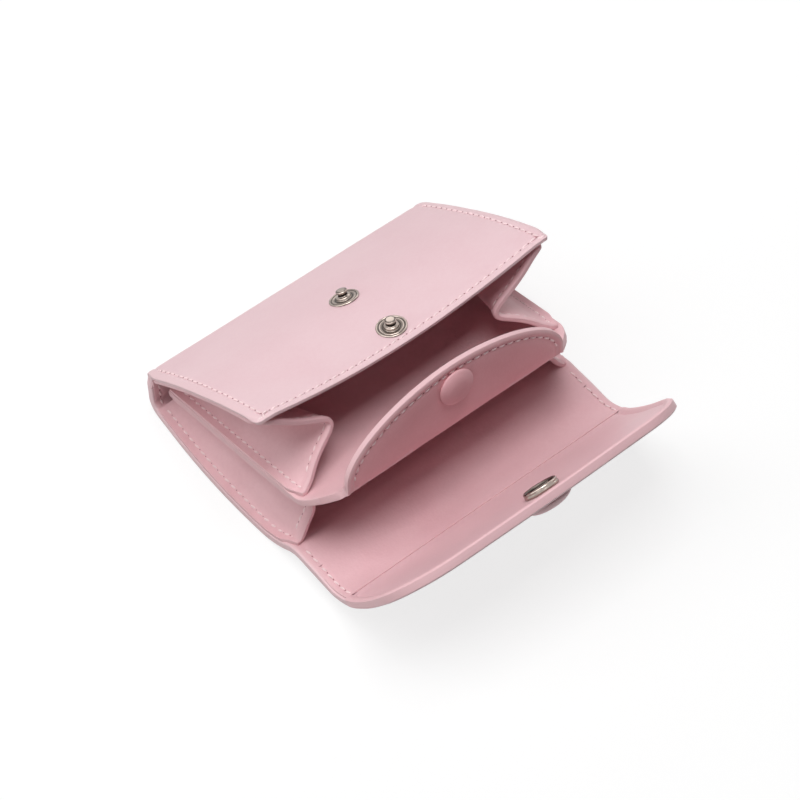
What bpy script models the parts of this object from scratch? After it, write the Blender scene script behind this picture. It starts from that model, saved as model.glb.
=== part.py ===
"""Card and coin wallet in grained leather, standing open.

The back lies on the table, with the wide main flap in front of it (toward -Y) and the folded spine
behind (+Y). A divider fans up from the spine and carries the small half-round coin flap, and the front
panel fans up above it with the two snap studs. Folded gussets close both compartments at the sides.
+X is the wallet's right, and the origin is under the middle of its outline.
"""

import math

import bmesh
import bpy
from mathutils import Matrix, Vector

# Driving sizes, in metres
WIDTH = 0.108                   # across the front, back and main flap
DIVIDER_WIDTH = 0.1008
SKIN = 0.0008                   # outer leather
LINING = 0.0007                 # lining leather
BOARD = 0.0005                  # stiffener between them
CLEARANCE = 0.0003              # between pieces that lie on each other
BOARD_INSET = 0.004             # from a leather edge to the stiffener's

BACK_FLAT_LENGTH = 0.0525       # back panel, from the spine's turn to where it lifts
BACK_RISE = 0.0125              # lifting part
BACK_CREST = 0.005              # where it levels out again, as far as the mouth
SPINE_BEND = 0.0065             # length of the turn from the back up into the spine
SPINE_HEIGHT = 0.0095           # straight part of the spine
SPINE_PLACE = 0.0385            # outer face of the spine behind the middle of the base line
BACK_BULGE = 0.0022             # how far the back's side edges bow out, halfway along

DIVIDER_LENGTH = 0.0691
DIVIDER_REAR_HEIGHT = 0.00983   # the divider's rear edge above the table
DIVIDER_REAR_PLACE = 0.0332

FRONT_LENGTH = 0.0714           # developed length of the front panel
FRONT_DROOP = 0.0078            # how far the middle of its mouth hangs below its corners

FLAP_LENGTH = 0.073             # developed length of the main flap, mouth to front edge
FLAP_FOLD_PLACE = 0.0165        # from the mouth to the flap's fold
FLAP_CREASE_PLACE = 0.0245      # from the mouth to the lining's end
FLAP_SIDE_LENGTH = 0.050        # straight part of its side edge
FLAP_CORNER_WIDTH = 0.021       # how far its rounded corner reaches in from the side
FLAP_BOW = 0.0015               # how far the middle of the front edge stands out

COIN_WIDTH = 0.081              # coin flap, across its bend
COIN_FOOT = 0.0118              # from the divider's mouth to the bend
COIN_RISE = 0.0242              # from the bend to the top of the rim
COIN_END_RISE = 0.0035          # the rim's height at its ends
COIN_SNAP_PLACE = 0.0164        # from the bend to the snap

STUD_PLATE = 0.0095             # snap diameters
STUD_POST = 0.0036
STUD_HEIGHT = 0.0036
SOCKET_SIZE = 0.0112
SOCKET_HEIGHT = 0.0019
SOCKET_BORE = 0.0056
MAIN_CAP_SIZE = 0.0134          # the metal caps that hold the sockets from outside
MAIN_CAP_HEIGHT = 0.0018
COIN_CAP_SIZE = 0.0104
COIN_CAP_HEIGHT = 0.0012
COVER_LIP = 0.0008              # how far the leather over a cap reaches past it, each side
COVER_THICKNESS = 0.0008
SHANK_SIZE = 0.0026
SHANK_HOLE = 0.0034
PLATE_THICKNESS = 0.0006
STUD_MAIN_PLACE = 0.0352        # behind the front panel's mouth
STUD_COIN_PLACE = 0.0089
SOCKET_MAIN_PLACE = 0.0098      # from the main flap's front edge

GUSSET = 0.0009                 # gusset leather
UPPER_FOLD_DEPTH = 0.0208       # how far the upper gusset folds in at the mouth
UPPER_FOLD_BACKSET = 0.0023     # how far its fold stops behind the middle of its mouth
UPPER_FOLD_SAG = 0.0010         # and how far it hangs below it
LOWER_FOLD_DEPTH = 0.0052
LOWER_FOLD_BACKSET = 0.0002
LOWER_FOLD_SAG = -0.0015        # the lower fold stands above the middle of its mouth
GUSSET_REAR_INSET = 0.003       # fold depth at the spine end

OVERRUN = 0.002                 # how far a hole's cutter passes both faces

# Slopes in degrees above the line toward -Y, at the start and the end of each stretch
BACK_LIFT_SLOPE = 32.5
DIVIDER_SLOPE = 14.3
FRONT_SLOPES = ((0.2, 40.0, 38.0), (0.25, 38.0, 35.5), (0.25, 35.5, 32.0), (0.3, 32.0, 28.5))
FLAP_SLOPES = ((0.2, -1.0, -1.0), (0.06, -1.0, 22.0), (0.14, 22.0, 50.0), (0.1, 50.0, 54.0),
               (0.14, 54.0, 59.0), (0.36, 59.0, 56.0))
COIN_FOOT_SLOPE = 37.0
COIN_RISE_SLOPES = ((0.4, 93.0, 99.0), (0.6, 99.0, 102.0))
DROOP_START_SHARE = 0.45        # share of the front panel's length where its droop begins
DROOP_POWER = 1.6
COIN_ROUND_POWER = 1.85         # 2 would make the coin flap half an ellipse
GUSSET_START_SHARE = 0.06       # share of the panels' length behind the gussets' rear ends

# How fine the sheets are
COLUMNS = 14
FINE_ROW = 0.0042               # longest row on a curved sheet
PLAIN_ROW = 0.0075              # and on one that is nearly flat
GUSSET_ROWS = 16
ROUND = 20

# Colours and finishes
LEATHER = ("grained pink leather", (0.80, 0.61, 0.64, 1.0), 0.55, 0.0)
LINING_LEATHER = ("smooth pink lining leather", (0.66, 0.42, 0.46, 1.0), 0.6, 0.0)
BOARD_STOCK = ("grey stiffener board", (0.45, 0.43, 0.41, 1.0), 0.9, 0.0)
NICKEL = ("polished nickel", (0.62, 0.60, 0.58, 1.0), 0.22, 1.0)

for old in list(bpy.data.objects):
    bpy.data.objects.remove(old, do_unlink=True)

pivots = {}


def material(look):
    """One Principled material for each look, made once and shared."""
    name, colour, roughness, metallic = look
    found = bpy.data.materials.get(name)
    if found:
        return found
    made = bpy.data.materials.new(name)
    made.use_nodes = True
    shader = made.node_tree.nodes["Principled BSDF"]
    shader.inputs["Base Color"].default_value = colour
    shader.inputs["Roughness"].default_value = roughness
    shader.inputs["Metallic"].default_value = metallic
    return made


def pivot(name, place, parent=None):
    """An empty on a joint's axis, which carries the pieces of one moving body."""
    empty = bpy.data.objects.new(name, None)
    bpy.context.collection.objects.link(empty)
    empty.location = place
    if parent:
        empty.parent = pivots[parent][0]
        empty.location = place - pivots[parent][1]
    pivots[name] = (empty, place)


def add_piece(name, mesh, look, body):
    """Link a mesh whose points are in world space under its body's pivot."""
    mesh.materials.append(material(look))
    piece = bpy.data.objects.new(name, mesh)
    bpy.context.collection.objects.link(piece)
    if body:
        empty, place = pivots[body]
        mesh.transform(Matrix.Translation(-place))
        piece.parent = empty
    return piece


class Profile:
    """A curve in the Y-Z plane, walked from a start point along stretches of changing slope."""

    def __init__(self, place, height, stretches):
        self.stretches = stretches
        self.starts = [(place, height)]
        for length, first, last in stretches:
            self.starts.append(self.walk(self.starts[-1], length, first, last, length))
        self.length = sum(stretch[0] for stretch in stretches)

    @staticmethod
    def walk(start, length, first, last, distance):
        """The point a distance along an arc whose slope turns evenly from first to last."""
        y, z = start
        one = math.radians(first)
        turn = math.radians(last - first) * distance / length
        chord = distance if abs(turn) < 1e-6 else distance * math.sin(turn / 2) / (turn / 2)
        return y - chord * math.cos(one + turn / 2), z + chord * math.sin(one + turn / 2)

    def at(self, distance):
        """Y and Z at a distance along the curve, which runs on straight past its ends."""
        if distance < 0:
            length, first, _ = self.stretches[0]
            return self.walk(self.starts[0], length, first, first, distance)
        for start, (length, first, last) in zip(self.starts, self.stretches):
            if distance <= length:
                return self.walk(start, length, first, last, distance)
            distance -= length
        return self.walk(self.starts[-1], length, last, last, distance)


def scaled(length, share_slopes):
    """Stretches from shares of a length, each with its first and last slope."""
    return [(length * share, first, last) for share, first, last in share_slopes]


def normal_at(surface, u, v, step):
    """The unit normal of a surface, on the side that faces up or into the wallet."""
    along = surface(u, v + step) - surface(u, v - step)
    across = surface(u + step, v) - surface(u - step, v)
    return along.cross(across).normalized()


def sheet(name, surface, columns, span, row, low, high, look, body):
    """A closed sheet over a surface.

    columns are places across it, and span gives the start and end along it at each column. row is the
    longest row. low and high are the offsets of its two faces from the surface, along the normal.
    """
    mesh = bmesh.new()
    rows = math.ceil(max(span(u)[1] - span(u)[0] for u in columns) / row)
    step = CLEARANCE
    layers = []
    for offset in (high, low):
        grid = []
        for u in columns:
            start, end = span(u)
            line = []
            for row in range(rows + 1):
                v = start + (end - start) * row / rows
                line.append(mesh.verts.new(surface(u, v) + normal_at(surface, u, v, step) * offset))
            grid.append(line)
        layers.append(grid)
    top, bottom = layers
    last = len(columns) - 1
    for i in range(last):
        for j in range(rows):
            mesh.faces.new((top[i][j], top[i][j + 1], top[i + 1][j + 1], top[i + 1][j]))
            mesh.faces.new((bottom[i][j], bottom[i + 1][j], bottom[i + 1][j + 1], bottom[i][j + 1]))
        mesh.faces.new((top[i][0], top[i + 1][0], bottom[i + 1][0], bottom[i][0]))
        mesh.faces.new((top[i + 1][rows], top[i][rows], bottom[i][rows], bottom[i + 1][rows]))
    for j in range(rows):
        mesh.faces.new((top[0][j + 1], top[0][j], bottom[0][j], bottom[0][j + 1]))
        mesh.faces.new((top[last][j], top[last][j + 1], bottom[last][j + 1], bottom[last][j]))
    bmesh.ops.recalc_face_normals(mesh, faces=mesh.faces)
    data = bpy.data.meshes.new(name)
    mesh.to_mesh(data)
    mesh.free()
    return add_piece(name, data, look, body)


def turned(name, outline, place, axis, look, body):
    """A closed turned solid: outline points are (radius, height) along the axis, from pole to pole."""
    mesh = bmesh.new()
    side = axis.orthogonal().normalized()
    other = axis.cross(side)
    rings = []
    for radius, height in outline:
        if radius == 0:
            rings.append([mesh.verts.new(place + axis * height)])
            continue
        ring = []
        for k in range(ROUND):
            angle = 2 * math.pi * k / ROUND
            spoke = side * math.cos(angle) + other * math.sin(angle)
            ring.append(mesh.verts.new(place + spoke * radius + axis * height))
        rings.append(ring)
    for lower, upper in zip(rings, rings[1:]):
        for k in range(ROUND):
            n = (k + 1) % ROUND
            corners = [lower[k % len(lower)], lower[n % len(lower)], upper[n % len(upper)],
                       upper[k % len(upper)]]
            mesh.faces.new(list(dict.fromkeys(corners)))
    bmesh.ops.recalc_face_normals(mesh, faces=mesh.faces)
    data = bpy.data.meshes.new(name)
    mesh.to_mesh(data)
    mesh.free()
    return add_piece(name, data, look, body)


def bore(pieces, place, axis, depth):
    """Cut one snap's hole through the layers that it passes."""
    cutter = turned("cutter_" + pieces[0].name, ((0, -depth), (SHANK_HOLE / 2, -depth),
                    (SHANK_HOLE / 2, depth), (0, depth)), place, axis, NICKEL, None)
    cutter.hide_render = True
    cutter.display_type = "WIRE"
    for piece in pieces:
        cut = piece.modifiers.new("snap hole", "BOOLEAN")
        cut.operation = "DIFFERENCE"
        cut.object = cutter


def spread(width, count=COLUMNS):
    """Evenly spaced columns across a width, centred on X = 0."""
    return [width * (i / count - 0.5) for i in range(count + 1)]


# Shapes of the five leather panels, each a surface S(across, along)

PANEL = SKIN + BOARD + LINING + 2 * CLEARANCE
SPINE_TOP = PANEL / 2 + SPINE_BEND * 2 / math.pi + SPINE_HEIGHT
FRONT_REAR_HEIGHT = SPINE_TOP + CLEARANCE + PANEL / 2
back_path = Profile(SPINE_PLACE - PANEL / 2, SPINE_TOP,
                    [(SPINE_HEIGHT, -90.0, -90.0), (SPINE_BEND, -90.0, 0.0),
                     (BACK_FLAT_LENGTH, 0.0, 0.0), (BACK_RISE, 0.0, BACK_LIFT_SLOPE),
                     (BACK_CREST, BACK_LIFT_SLOPE, FLAP_SLOPES[0][1])])
divider_path = Profile(DIVIDER_REAR_PLACE, DIVIDER_REAR_HEIGHT,
                       [(DIVIDER_LENGTH, DIVIDER_SLOPE, DIVIDER_SLOPE)])
front_path = Profile(SPINE_PLACE - PANEL / 2, FRONT_REAR_HEIGHT, scaled(FRONT_LENGTH, FRONT_SLOPES))
mouth_y, mouth_z = back_path.at(back_path.length)
flap_path = Profile(mouth_y, mouth_z, scaled(FLAP_LENGTH, FLAP_SLOPES))
divider_mouth = divider_path.at(DIVIDER_LENGTH)
foot_path = Profile(*divider_mouth, [(COIN_FOOT, COIN_FOOT_SLOPE, COIN_FOOT_SLOPE)])
rise_path = Profile(*foot_path.at(COIN_FOOT), scaled(COIN_RISE, COIN_RISE_SLOPES))


def along_path(path):
    """A surface that keeps one profile all the way across."""
    return lambda x, s: Vector((x, *path.at(s)))


def front_surface(x, s):
    """The front panel, whose mouth hangs a little between its stiff corners."""
    y, z = front_path.at(s)
    past = max(0.0, (s / FRONT_LENGTH - DROOP_START_SHARE) / (1 - DROOP_START_SHARE))
    hang = FRONT_DROOP * min(past, 1.2) ** DROOP_POWER * (1 - (2 * x / WIDTH) ** 2)
    return Vector((x, y, z - hang))


def back_surface(x, s):
    """The back and spine, whose side edges bow out a little under the fullest part."""
    share = min(max((s - SPINE_HEIGHT) / (back_path.length - SPINE_HEIGHT), 0.0), 1.0)
    wider = 1 + 2 * BACK_BULGE / WIDTH * math.sin(math.pi * share)
    return Vector((x * wider, *back_path.at(s)))


def flap_end(x):
    """Length of the main flap at a place across it: rounded corners and a slightly bowed edge."""
    inner = WIDTH / 2 - FLAP_CORNER_WIDTH
    bowed = FLAP_LENGTH - FLAP_BOW * (x / inner) ** 2
    if abs(x) <= inner:
        return bowed
    share = min(1.0, (abs(x) - inner) / FLAP_CORNER_WIDTH)
    corner = FLAP_LENGTH - FLAP_BOW - FLAP_SIDE_LENGTH
    return FLAP_SIDE_LENGTH + corner * math.sqrt(1 - share ** 2)


def coin_rim(x):
    """Height of the coin flap's rim over its bend: a half round with short upright ends."""
    share = min(1.0, abs(2 * x) / COIN_WIDTH)
    return COIN_END_RISE + (COIN_RISE - COIN_END_RISE) * math.sqrt(1 - share ** COIN_ROUND_POWER)


def rounded(width, corner, count=4):
    """Columns across a width, closer together in its rounded ends."""
    inner = width / 2 - corner
    ends = [inner + corner * math.sin(math.pi / 2 * k / count) for k in range(1, count + 1)]
    return [-e for e in reversed(ends)] + spread(2 * inner, COLUMNS - count) + ends


def layered(layers, surface, width, count, length, row, body):
    """The layers of one panel, stacked from its lower side up. The stiffener stops short of the edges."""
    base = -PANEL / 2
    made = []
    for name, thickness, look in layers:
        inset = BOARD_INSET if look == BOARD_STOCK else 0
        made.append(sheet(name, surface, spread(width - 2 * inset, count),
                          lambda x: (inset, length - inset), row, base, base + thickness, look, body))
        base += thickness + CLEARANCE
    return made


def make_pivots():
    """The joint axes: each lies on the inner face of the fold that bends."""
    inside = PANEL / 2
    top_y, top_z = SPINE_PLACE - PANEL, SPINE_TOP + CLEARANCE
    pivot("divider_body", Vector((0, top_y, top_z)))
    pivot("front_body", Vector((0, top_y, top_z)), "divider_body")
    pivot("coin_foot_body", Vector((0, divider_mouth[0], divider_mouth[1] + inside)), "divider_body")
    bend = foot_path.at(COIN_FOOT)
    pivot("coin_rise_body", Vector((0, bend[0] + inside, bend[1])), "coin_foot_body")
    pivot("flap_base_body", Vector((0, mouth_y, mouth_z + inside)))
    fold = flap_path.at(FLAP_FOLD_PLACE)
    pivot("flap_body", Vector((0, fold[0], fold[1] + inside)), "flap_base_body")


def make_back():
    """Back and spine: the outer leather wraps both in one piece, and the linings stop at the turn."""
    surface = back_surface
    columns = spread(WIDTH, 4)
    inner_columns = spread(WIDTH - 2 * BOARD_INSET, 4)
    low = -PANEL / 2
    middle = low + SKIN + CLEARANCE
    high = middle + BOARD + CLEARANCE
    turn = SPINE_HEIGHT + SPINE_BEND
    end = back_path.length
    sheet("outer_back_and_spine", surface, columns, lambda x: (0.0, end), FINE_ROW / 2, low, low + SKIN,
          LEATHER, None)
    sheet("back_stiffener", surface, inner_columns, lambda x: (turn, end - BOARD_INSET), FINE_ROW,
          middle, middle + BOARD, BOARD_STOCK, None)
    sheet("back_lining", surface, columns, lambda x: (turn, end), FINE_ROW, high, high + LINING,
          LINING_LEATHER, None)
    sheet("spine_stiffener", surface, inner_columns, lambda x: (BOARD_INSET / 2, SPINE_HEIGHT - CLEARANCE),
          PLAIN_ROW, middle, middle + BOARD, BOARD_STOCK, None)
    sheet("spine_lining", surface, columns, lambda x: (0.0, turn - CLEARANCE), FINE_ROW / 2,
          high, high + LINING, LINING_LEATHER, None)


def make_divider():
    """The divider between the note compartment and the coin compartment."""
    layered((("divider_lower_skin", LINING, LINING_LEATHER), ("divider_stiffener", BOARD, BOARD_STOCK),
             ("divider_upper_skin", SKIN, LEATHER)),
            along_path(divider_path), DIVIDER_WIDTH, 4, DIVIDER_LENGTH, 2 * PLAIN_ROW, "divider_body")


def make_front():
    """The front panel, with the holes for its two snap studs."""
    layers = layered((("front_lining", LINING, LINING_LEATHER), ("front_stiffener", BOARD, BOARD_STOCK),
                      ("front_outer", SKIN, LEATHER)),
                     front_surface, WIDTH, COLUMNS - 2, FRONT_LENGTH, PLAIN_ROW, "front_body")
    for name, back in (("main", STUD_MAIN_PLACE), ("coin", STUD_COIN_PLACE)):
        make_stud(name, FRONT_LENGTH - back, layers)


def make_stud(name, along, layers):
    """A snap stud on the front panel and the rivet that holds it from inside."""
    place = front_surface(0.0, along)
    axis = normal_at(front_surface, 0.0, along, CLEARANCE)
    seat = PANEL / 2 + CLEARANCE
    radius = STUD_PLATE / 2
    post = STUD_POST / 2
    waist = post * 0.8
    rim = PLATE_THICKNESS + CLEARANCE
    turned(name + "_snap_stud",
           ((0, seat), (radius, seat), (radius, seat + PLATE_THICKNESS),
            (radius - rim, seat + 2 * PLATE_THICKNESS), (waist, seat + 2 * PLATE_THICKNESS),
            (waist, seat + STUD_HEIGHT - 2 * PLATE_THICKNESS),
            (post, seat + STUD_HEIGHT - PLATE_THICKNESS), (waist, seat + STUD_HEIGHT),
            (0, seat + STUD_HEIGHT)),
           place, axis, NICKEL, "front_body")
    rivet(name + "_stud_rivet", place, axis, STUD_PLATE / 2, "front_body")
    bore(layers, place, axis, PANEL / 2 + OVERRUN)


def rivet(name, place, axis, radius, body):
    """A flat-headed rivet: its head lies on the far face and its shank fills the hole."""
    seat = -PANEL / 2 - CLEARANCE
    turned(name, ((0, seat - PLATE_THICKNESS), (radius, seat - PLATE_THICKNESS), (radius, seat),
                  (SHANK_SIZE / 2, seat), (SHANK_SIZE / 2, PANEL / 2), (0, PANEL / 2)),
           place, axis, NICKEL, body)


def make_socket(name, surface, along, layers, body, cap_size, cap_height):
    """A snap socket on the flap's inner side, with its cap and the leather over it outside."""
    place = surface(0.0, along)
    axis = normal_at(surface, 0.0, along, CLEARANCE)
    seat = PANEL / 2 + CLEARANCE
    radius = SOCKET_SIZE / 2
    hollow = SOCKET_BORE / 2
    floor = seat + PLATE_THICKNESS
    top = seat + SOCKET_HEIGHT
    turned(name + "_snap_socket",
           ((0, seat), (radius, seat), (radius, floor), (radius - PLATE_THICKNESS, top),
            (hollow, top), (hollow, floor), (0, floor)),
           place, axis, NICKEL, body)
    head = -PANEL / 2 - CLEARANCE
    cap = cap_size / 2
    turned(name + "_cap",
           ((0, head - cap_height), (cap - cap_height, head - cap_height),
            (cap, head - PLATE_THICKNESS), (cap, head), (SHANK_SIZE / 2, head),
            (SHANK_SIZE / 2, PANEL / 2), (0, PANEL / 2)),
           place, axis, NICKEL, body)
    inner = cap + CLEARANCE
    crown = head - cap_height - CLEARANCE
    outer = cap + COVER_LIP
    turned(name + "_cap_cover",
           ((0, crown - COVER_THICKNESS), (outer - 2 * COVER_THICKNESS, crown - COVER_THICKNESS),
            (outer, head - PLATE_THICKNESS), (outer, head), (inner, head),
            (inner, head - PLATE_THICKNESS - CLEARANCE), (inner - cap_height, crown), (0, crown)),
           place, axis, LEATHER, body)
    bore(layers, place, axis, PANEL / 2 + OVERRUN)


def make_coin_flap():
    """The half-round coin flap: a strip from the divider's mouth, a bend, and the upright leaf."""
    columns = rounded(COIN_WIDTH, COIN_WIDTH / 5)
    foot = along_path(foot_path)
    start = PANEL / 2 + CLEARANCE
    low = -PANEL / 2
    high = low + SKIN + CLEARANCE
    sheet("coin_flap_hinge_strip", foot, spread(COIN_WIDTH, 4),
          lambda x: (2 * CLEARANCE, COIN_FOOT - CLEARANCE), PLAIN_ROW, low, high + LINING, LEATHER,
          "coin_foot_body")
    rise = along_path(rise_path)

    def span(x):
        return start / 2, coin_rim(x)

    layers = [sheet("coin_flap_outer", rise, columns, span, FINE_ROW, low, low + SKIN, LEATHER,
                    "coin_rise_body"),
              sheet("coin_flap_lining", rise, columns, span, FINE_ROW, high, high + LINING, LINING_LEATHER,
                    "coin_rise_body")]
    make_socket("coin", rise, COIN_SNAP_PLACE, layers, "coin_rise_body", COIN_CAP_SIZE, COIN_CAP_HEIGHT)


def make_main_flap():
    """The main flap: a short base to its fold, then the long leaf that wraps over the front."""
    surface = along_path(flap_path)
    low = -PANEL / 2
    middle = low + SKIN + CLEARANCE
    high = middle + BOARD + CLEARANCE
    columns = rounded(WIDTH, FLAP_CORNER_WIDTH)
    inner_columns = spread(WIDTH - 2 * FLAP_CORNER_WIDTH, 6)
    plain = spread(WIDTH, 4)
    fold = FLAP_FOLD_PLACE
    crease = FLAP_CREASE_PLACE
    gap = CLEARANCE / 2
    sheet("flap_hinge_outer", surface, plain, lambda x: (gap, fold - gap), FINE_ROW, low, low + SKIN, LEATHER,
          "flap_base_body")
    sheet("flap_hinge_lining", surface, plain, lambda x: (gap, fold - gap), FINE_ROW, middle, high + LINING,
          LINING_LEATHER, "flap_base_body")
    outer = sheet("flap_outer", surface, columns, lambda x: (fold + gap, flap_end(x)), FINE_ROW, low,
                  low + SKIN, LEATHER, "flap_body")
    board = sheet("flap_stiffener", surface, inner_columns,
                  lambda x: (crease + BOARD_INSET, FLAP_LENGTH - BOARD_INSET), FINE_ROW, middle,
                  middle + BOARD, BOARD_STOCK, "flap_body")
    sheet("flap_lining", surface, plain, lambda x: (fold + gap, crease - gap), FINE_ROW, high, high + LINING,
          LINING_LEATHER, "flap_body")
    facing = sheet("flap_facing", surface, columns, lambda x: (crease + gap, flap_end(x)), FINE_ROW, high,
                   high + LINING, LEATHER, "flap_body")
    make_socket("main", surface, FLAP_LENGTH - SOCKET_MAIN_PLACE, (outer, board, facing), "flap_body",
                MAIN_CAP_SIZE, MAIN_CAP_HEIGHT)


def edge_line(surface, x, length, offset):
    """A panel's side edge as a function of a share of its length, on one of its faces."""
    def at(share):
        along = length * share
        return surface(x, along) + normal_at(surface, x, along, CLEARANCE) * offset
    return at


def gusset(name, upper, lower, side, mouth_fold, body):
    """A folded side gusset: two leaves between the edges of two panels, with the fold turned in."""
    mouth_depth, mouth_back, mouth_sag = mouth_fold

    def surface(u, v):
        share = GUSSET_START_SHARE + (1 - GUSSET_START_SHARE) * v
        top, bottom = upper(share), lower(share)
        depth = GUSSET_REAR_INSET + (mouth_depth - GUSSET_REAR_INSET) * share
        fold = (top + bottom) / 2
        fold.x = side * (min(abs(top.x), abs(bottom.x)) - depth)
        fold.y += mouth_back * share
        fold.z -= mouth_sag * share
        return top.lerp(fold, u) if u <= 1 else fold.lerp(bottom, u - 1)

    mesh = bmesh.new()
    rows = GUSSET_ROWS
    grids = []
    for turn in (0, 1):
        grid = []
        for u in (0.0, 0.5, 1.0, 1.5, 2.0):
            line = []
            for row in range(rows + 1):
                share = row / rows
                point = surface(u, share)
                shift = Vector((side * GUSSET * (turn - 0.5), 0, 0))
                line.append(mesh.verts.new(point + shift))
            grid.append(line)
        grids.append(grid)
    inner, outer = grids
    for i in range(4):
        for j in range(rows):
            mesh.faces.new((inner[i][j], inner[i][j + 1], inner[i + 1][j + 1], inner[i + 1][j]))
            mesh.faces.new((outer[i][j], outer[i + 1][j], outer[i + 1][j + 1], outer[i][j + 1]))
        mesh.faces.new((inner[i][0], inner[i + 1][0], outer[i + 1][0], outer[i][0]))
        mesh.faces.new((inner[i + 1][rows], inner[i][rows], outer[i][rows], outer[i + 1][rows]))
    for j in range(rows):
        mesh.faces.new((inner[0][j + 1], inner[0][j], outer[0][j], outer[0][j + 1]))
        mesh.faces.new((inner[4][j], inner[4][j + 1], outer[4][j + 1], outer[4][j]))
    bmesh.ops.recalc_face_normals(mesh, faces=mesh.faces)
    data = bpy.data.meshes.new(name)
    mesh.to_mesh(data)
    mesh.free()
    return add_piece(name, data, LINING_LEATHER, body)


def make_gussets():
    """Upper gussets from the front panel to the divider, and lower ones from the divider to the back."""
    divider = along_path(divider_path)
    turn = SPINE_HEIGHT + SPINE_BEND
    inside = PANEL / 2 + CLEARANCE
    upper_fold = (UPPER_FOLD_DEPTH, UPPER_FOLD_BACKSET, UPPER_FOLD_SAG)
    lower_fold = (LOWER_FOLD_DEPTH, LOWER_FOLD_BACKSET, LOWER_FOLD_SAG)

    def back_edge(x):
        def at(share):
            along = turn + (back_path.length - turn) * share
            return back_surface(x, along) + normal_at(back_surface, x, along, CLEARANCE) * inside
        return at

    for side, word in ((-1, "left"), (1, "right")):
        edge = side * (WIDTH / 2 - GUSSET)
        ridge = side * (DIVIDER_WIDTH / 2 - GUSSET)
        gusset("upper_gusset_" + word, edge_line(front_surface, edge, FRONT_LENGTH, -inside),
               edge_line(divider, ridge, DIVIDER_LENGTH, inside), side, upper_fold, "divider_body")
        gusset("lower_gusset_" + word, edge_line(divider, ridge, DIVIDER_LENGTH, -inside),
               back_edge(edge), side, lower_fold, None)


make_pivots()
make_back()
make_divider()
make_front()
make_coin_flap()
make_main_flap()
make_gussets()
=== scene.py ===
"""A small pink leather wallet, open on a pale table, with its coin flap up and its main flap laid forward."""

import bisect
import math

import bmesh
import bpy
from mathutils import Matrix, Vector, noise


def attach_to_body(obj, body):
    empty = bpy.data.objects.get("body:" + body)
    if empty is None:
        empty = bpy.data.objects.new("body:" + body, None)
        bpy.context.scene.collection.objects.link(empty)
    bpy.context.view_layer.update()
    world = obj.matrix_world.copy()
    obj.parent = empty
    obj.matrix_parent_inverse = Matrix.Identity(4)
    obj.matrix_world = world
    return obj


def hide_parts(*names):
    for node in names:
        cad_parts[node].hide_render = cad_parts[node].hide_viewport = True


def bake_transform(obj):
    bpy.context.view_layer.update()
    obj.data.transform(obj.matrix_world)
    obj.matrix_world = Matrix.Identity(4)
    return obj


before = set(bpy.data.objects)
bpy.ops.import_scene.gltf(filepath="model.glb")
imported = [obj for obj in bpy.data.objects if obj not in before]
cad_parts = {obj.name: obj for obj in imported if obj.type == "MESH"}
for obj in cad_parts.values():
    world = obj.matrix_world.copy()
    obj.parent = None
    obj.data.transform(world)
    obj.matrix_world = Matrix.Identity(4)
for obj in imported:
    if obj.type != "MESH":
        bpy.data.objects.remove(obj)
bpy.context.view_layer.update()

# The table: a matte white sheet under the wallet. The camera, metal and glass see it and the air round it as
# nearly white light, with the wallet's soft shadow still on it.


def linear(text):
    """A colour written as sRGB hex, in linear values."""
    values = [int(text[i:i + 2], 16) / 255 for i in (1, 3, 5)]
    return tuple(v / 12.92 if v <= 0.04045 else ((v + 0.055) / 1.055) ** 2.4 for v in values) + (1.0,)


def node(tree, kind, sockets=None, links=None, **settings):
    """Add a node with its settings, socket values, and links from other nodes' outputs."""
    made = tree.nodes.new(kind)
    for key, value in settings.items():
        setattr(made, key, value)
    for key, value in (sockets or {}).items():
        made.inputs[key].default_value = value
    for key, (source, output) in (links or {}).items():
        tree.links.new(source.outputs[output], made.inputs[key])
    return made


def empty_material(name):
    """A new material with nothing in it but its output."""
    made = bpy.data.materials.new(name)
    made.use_nodes = True
    made.node_tree.nodes.clear()
    return made, made.node_tree


def looked_at(tree):
    """Whether a ray comes straight from the camera, from a gleam or through glass."""
    path = node(tree, "ShaderNodeLightPath")
    seen = node(tree, "ShaderNodeMath", links={0: (path, "Is Camera Ray"), 1: (path, "Is Glossy Ray")},
                operation="MAXIMUM")
    return node(tree, "ShaderNodeMath", links={0: (seen, 0), 1: (path, "Is Transmission Ray")},
                operation="MAXIMUM")


def finish_mesh(piece, material, smooth=50):
    """Give a piece its material and smooth shading up to an angle."""
    piece.data.materials.clear()
    piece.data.materials.append(material)
    bpy.ops.object.select_all(action="DESELECT")
    piece.select_set(True)
    bpy.context.view_layer.objects.active = piece
    bpy.ops.object.shade_smooth_by_angle(angle=math.radians(smooth))


bpy.ops.mesh.primitive_plane_add(size=4, location=(0, 0, -0.0002))
table = bpy.context.object
table.name = "table"
bpy.ops.object.transform_apply(location=True, rotation=True, scale=True)
paper, tree = empty_material("matte white card")
matte = node(tree, "ShaderNodeBsdfDiffuse", {"Color": linear("#D2D0CE"), "Roughness": 0.5})
shaded = node(tree, "ShaderNodeBsdfDiffuse", {"Color": (0.27, 0.27, 0.27, 1.0), "Roughness": 0.5})
glow = node(tree, "ShaderNodeEmission", {"Color": (1.0, 1.0, 1.0, 1.0), "Strength": 0.78})
lit = node(tree, "ShaderNodeAddShader", links={0: (shaded, "BSDF"), 1: (glow, "Emission")})
card = node(tree, "ShaderNodeMixShader", links={0: (looked_at(tree), 0), 1: (matte, "BSDF"), 2: (lit, 0)})
node(tree, "ShaderNodeOutputMaterial", links={"Surface": (card, 0)})
finish_mesh(table, paper)

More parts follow.
